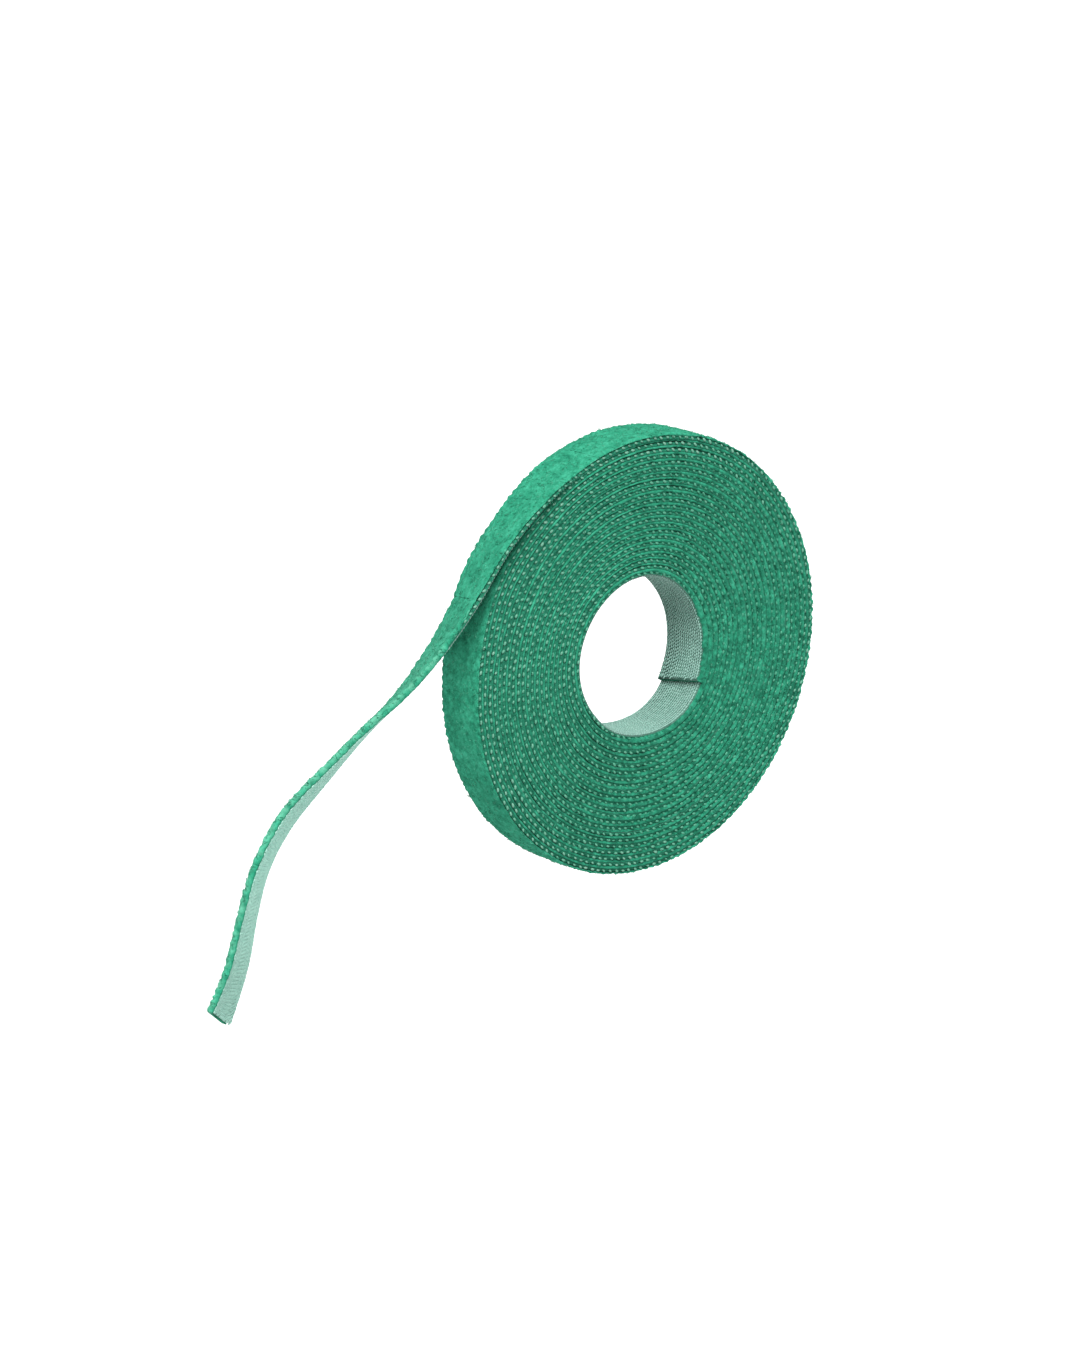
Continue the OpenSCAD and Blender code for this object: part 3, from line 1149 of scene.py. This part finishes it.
    def hook_rows(self, stock: Stock, stretch: Stretch, finish: int) -> None:
        """Adds the rows of small leaning hooks on the inner face."""
        tape, hook = self.tape, self.HOOK
        rng = np.random.default_rng(round(stretch.start / MM) + 7)
        rows = round((tape.width - 2 * hook.selvedge) / tape.hook_row)
        across_rows = (np.arange(rows) - (rows - 1) / 2) * tape.hook_row
        first, last = math.floor(stretch.start / hook.pitch), math.ceil(stretch.end / hook.pitch)
        numbers = np.arange(first - 1, last + 1)
        places, across = np.meshgrid(numbers * hook.pitch, across_rows, indexing="ij")
        places = places + (0.5 * hook.pitch * np.round(across / tape.hook_row)) % hook.pitch
        held = self.kept(places, stretch, hook.margin)
        places, across = places[held], across[held]
        across = across + rng.uniform(-0.03, 0.03, places.size) * MM
        at = self.line.at(places)
        lean, rise, half_width, half_length = (
            np.array(row)[None, :, None] for row in (hook.lean, hook.rise, hook.half_width, hook.half_length)
        )
        grow = rng.uniform(0.90, 1.08, (places.size, 1, 1))
        corner_x, corner_y = np.array([-1, 1, 1, -1]), np.array([-1, -1, 1, 1])
        forward = grow * (lean + half_length * corner_x)
        sideways = grow * (half_width * corner_y) + hook.skew * forward
        height = grow * rise + 0 * forward
        points = (
            self.spots(at, across)[:, None, None] + at.along[:, None, None] * forward[..., None]
            + at.front[:, None, None] * sideways[..., None] - at.out[:, None, None] * height[..., None]
        ).reshape(places.size, -1, 3)
        depth = -height.reshape(places.size, -1)
        # The hooks take the same painted light and shade as the sheet.
        marks = marked(points, places, across, depth, self.painted_hook_light(places))
        stock.add(*many(points, marks, tube_faces(len(hook.rise), corner_x.size)), finish=finish)

    def stitches(self, stretch: Stretch) -> bpy.types.Object:
        """Builds the beads of yarn along both edges of the hook sheet."""
        stock = Stock()
        for side in Side:
            self.edge_stitches(stock, stretch, side)
        return stock.piece(f"stitch_{stretch.name}", [self.yarn_finish])

    def edge_stitches(self, stock: Stock, stretch: Stretch, side: Side) -> None:
        """Adds one edge's beads."""
        tape, bead = self.tape, self.BEAD
        first, last = math.ceil(stretch.start / tape.stitch), math.ceil(stretch.end / tape.stitch)
        rng = np.random.default_rng(1000 * first + side.value + 5)
        numbers = np.arange(first, last)
        numbers = numbers[self.kept(numbers * tape.stitch, stretch, bead.margin)]
        count = numbers.size
        places = numbers * tape.stitch + rng.uniform(-0.16, 0.16, count) * MM
        at = self.line.at(places)
        cover = self.fuzz.cover(at.distance, at.turns, side)
        outer = eased((at.turns - self.line.turns + 6) / 5)
        # Each bead's random paleness is partly the yarn's own tone and partly painted glints on the few
        # palest beads.
        tone_and_painted_glint = rng.beta(1.4, 2.4, count)
        tone = np.maximum(1 - cover, 0) * (0.28 + 0.36 * tone_and_painted_glint + outer * (0.28 + 0.50 * tone_and_painted_glint))
        polar = np.radians(bead.rings)[None, :, None]
        around = (np.arange(bead.sides) * TURN / bead.sides)[None, None, :]
        size = rng.uniform(0.78, 1.15, count)[:, None, None]
        tilt = (bead.tilt + 0.35 * rng.uniform(-1, 1, count))[:, None, None]
        length = bead.length * size * np.sin(polar) * np.cos(around)
        width = bead.width * size * np.sin(polar) * np.sin(around)
        forward = length * np.cos(tilt) - width * np.sin(tilt)
        outward = length * np.sin(tilt) + width * np.cos(tilt)
        proud = (bead.height * np.cos(polar) + 0 * around) * size
        level = bead.level + 0.05 * rng.uniform(-1, 1, count)
        across = side.value * (tape.half - bead.inset - 0.06 * MM * rng.uniform(-1, 1, count))
        points = (
            self.spots(at, across, level)[:, None, None] + at.along[:, None, None] * forward[..., None]
            + at.out[:, None, None] * outward[..., None]
            + side.value * at.front[:, None, None] * proud[..., None]
        ).reshape(count, -1, 3)
        along = places[:, None] + forward.reshape(count, -1)
        marks = marked(points, along, across, outward.reshape(count, -1), tone)
        stock.add(*many(points, marks, tube_faces(len(bead.rings), bead.sides)))

    def build(self, stretch: Stretch) -> None:
        pile, film = self.pile(stretch), self.film(stretch)
        hooks, stitches = self.hooks(stretch), self.stitches(stretch)
        for piece, slot in (
            (pile, "loop_pile"), (film, "bond_film"), (hooks, "hook_sheet"), (stitches, "hook_sheet")
        ):
            self.mount(piece, stretch)
        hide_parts(f"loop_pile_{stretch.part}")
        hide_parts(f"bond_film_{stretch.part}")
        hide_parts(f"hook_sheet_{stretch.part}")
        bodies = " and ".join(stretch.bodies)
        for piece in (pile, film, hooks, stitches):
            LOG.info("%s: %d faces, on %s", piece.name, len(piece.data.polygons), bodies)

    def mount(self, piece: bpy.types.Object, stretch: Stretch) -> None:
        """Makes a piece ride on its body, or, for a stretch across a hinge, bakes its place into its mesh."""
        if len(stretch.bodies) == 1:
            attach(piece, stretch.bodies[0])
            return
        first, second = stretch.bodies
        hinge = self.line.hinges[int(second.split("_")[1]) - 1]
        before = self.BLEND_AT_RIM if first in ("roll", "tail_1") else self.BLEND
        ends = self.line.at(np.array([hinge - before, hinge + self.BLEND]))
        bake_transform(piece)


def stretches(winding: Winding, line: TapeLine) -> list[Stretch]:
    """Cuts the tape into stretches.

    Args:
        winding: The spiral.
        line: The tape's route.

    Returns:
        The stretches, from the inner end to the cut end.
    """
    def distance(turns: float) -> float:
        """Returns the distance from the inner end at that many turns."""
        return float(np.interp(turns, line.columns[:, 9], line.places))

    roll = ("roll",)
    on_rim = line.peel - 6 * MM
    lap = 1.03
    wound = (lap, 10.0, 16.5, winding.turns - lap)
    cuts = [0.0, *(distance(turns) for turns in wound), on_rim]
    names = ("bore_turn", "inner_turns", "middle_turns", "outer_turns", "rim")
    faces = (Face.HOOKS, Face.NONE, Face.NONE, Face.NONE, Face.PILE)
    found = [
        Stretch(name, start, end, roll, "roll", face)
        for name, face, start, end in zip(names, faces, cuts, cuts[1:])
    ]
    starts = [on_rim, *line.middles[:-1]]
    for k, (start, end) in enumerate(zip(starts, line.middles), start=1):
        before = "roll" if k == 1 else f"tail_{k - 1}"
        name = "peel" if k == 1 else f"bend_{k - 1}"
        found.append(Stretch(name, start, end, (before, f"tail_{k}"), f"tail_{k}", Face.BOTH))
    last = f"tail_{len(line.middles)}"
    found.append(Stretch("cut_end", line.middles[-1], line.length, (last,), last, Face.BOTH))
    return found


def seen_or_not(tree: bpy.types.NodeTree, lighting: float, seen: float) -> bpy.types.NodeSocket:
    """Makes a strength that differs between a surface's light and its own look.

    Args:
        tree: The node tree.
        lighting: The strength for the light that falls on other things.
        seen: The strength where the surface itself is looked at.

    Returns:
        The socket that gives the strength.
    """
    path = tree.nodes.new("ShaderNodeLightPath")
    strength = tree.nodes.new("ShaderNodeMapRange")
    strength.inputs["To Min"].default_value = lighting
    strength.inputs["To Max"].default_value = seen
    tree.links.new(path.outputs["Is Camera Ray"], strength.inputs["Value"])
    return strength.outputs["Result"]


@dataclass(frozen=True)
class Studio:
    """Camera, soft light, and a grey floor and sky that look white."""

    azimuth: float = math.radians(-40.48)
    elevation: float = math.radians(16.85)
    distance: float = 0.985
    aim: tuple = (-0.01454, 0.01187, -0.00499)
    lens: float = 120.0
    floor_height: float = -0.16
    floor_size: float = 9.0
    key_from: tuple = (-0.35, -0.50, 0.80)
    key_strength: float = 4.5
    key_angle: float = math.radians(34)
    sky_light: float = 0.58
    backdrop: float = 1.06
    floor_shade: float = 0.35
    floor_glow: float = 0.90
    floor_light: float = 0.42

    def camera(self) -> None:
        """Places the camera."""
        data = bpy.data.cameras.new("camera")
        data.lens, data.sensor_width = self.lens, 36.0
        data.clip_start, data.clip_end = 0.05, 50.0
        camera = bpy.data.objects.new("camera", data)
        level = Vector((math.sin(self.azimuth), -math.cos(self.azimuth), 0.0))
        back = level * math.cos(self.elevation) + Vector((0, 0, math.sin(self.elevation)))
        right = Vector((math.cos(self.azimuth), math.sin(self.azimuth), 0.0))
        up = back.cross(right)
        turn = Matrix((right, up, back)).transposed().to_4x4()
        camera.matrix_world = Matrix.Translation(Vector(self.aim) + back * self.distance) @ turn
        bpy.context.scene.collection.objects.link(camera)
        bpy.context.scene.camera = camera

    def floor(self) -> None:
        """Lays the floor."""
        half = self.floor_size / 2
        mesh = bpy.data.meshes.new("studio_floor")
        signs = ((-1, -1), (1, -1), (1, 1), (-1, 1))
        corners = [(x * half, y * half, self.floor_height) for x, y in signs]
        mesh.from_pydata(corners, [], [(0, 1, 2, 3)])
        material = bpy.data.materials.new("studio_floor")
        material.use_nodes = True
        shader = material.node_tree.nodes["Principled BSDF"]
        shader.inputs["Base Color"].default_value = (*[self.floor_shade] * 3, 1.0)
        shader.inputs["Emission Color"].default_value = (1.0, 1.0, 1.0, 1.0)
        links = material.node_tree.links
        glow = seen_or_not(material.node_tree, self.floor_light, self.floor_glow)
        links.new(glow, shader.inputs["Emission Strength"])
        shader.inputs["Roughness"].default_value = 0.9
        mesh.materials.append(material)
        floor = bpy.data.objects.new("studio_floor", mesh)
        bpy.context.scene.collection.objects.link(floor)

    def sun(self) -> None:
        """Adds the soft light from above, in front and to the left."""
        data = bpy.data.lights.new("key", "SUN")
        data.energy, data.angle = self.key_strength, self.key_angle
        lamp = bpy.data.objects.new("key", data)
        lamp.rotation_euler = Vector(self.key_from).to_track_quat("Z", "Y").to_euler()
        bpy.context.scene.collection.objects.link(lamp)

    def build(self) -> None:
        """Makes the whole studio."""
        self.camera()
        self.floor()
        world = bpy.data.worlds.new("studio")
        world.use_nodes = True
        background = world.node_tree.nodes["Background"]
        background.inputs["Color"].default_value = (1.0, 1.0, 1.0, 1.0)
        strength = seen_or_not(world.node_tree, self.sky_light, self.backdrop)
        world.node_tree.links.new(strength, background.inputs["Strength"])
        scene = bpy.context.scene
        scene.world = world
        scene.view_settings.view_transform = "Standard"
        self.sun()


def main() -> None:
    """Builds the studio and the tape, and reports each piece."""
    logging.basicConfig(level=logging.INFO, format="%(name)s: %(message)s")
    Studio().build()
    low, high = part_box("hook_sheet_roll")
    bore = next(m for m in frame["record"]["mounts"] if m["kind"] == "bore")
    tape = Tape(width=high.y - low.y)
    winding = Winding(bore_radius=bore["dims"]["r_mm"] * MM, thickness=tape.thickness)
    line = TapeLine(tape, winding, Tail(winding))
    LOG.info("tape: %.3f m long, %.3f m of it wound", line.length, line.peel)
    builder = TapeBuilder(tape, line, Fuzz(winding, line.peel))
    for stretch in stretches(winding, line):
        builder.build(stretch)


if __name__ == "__main__":
    main()
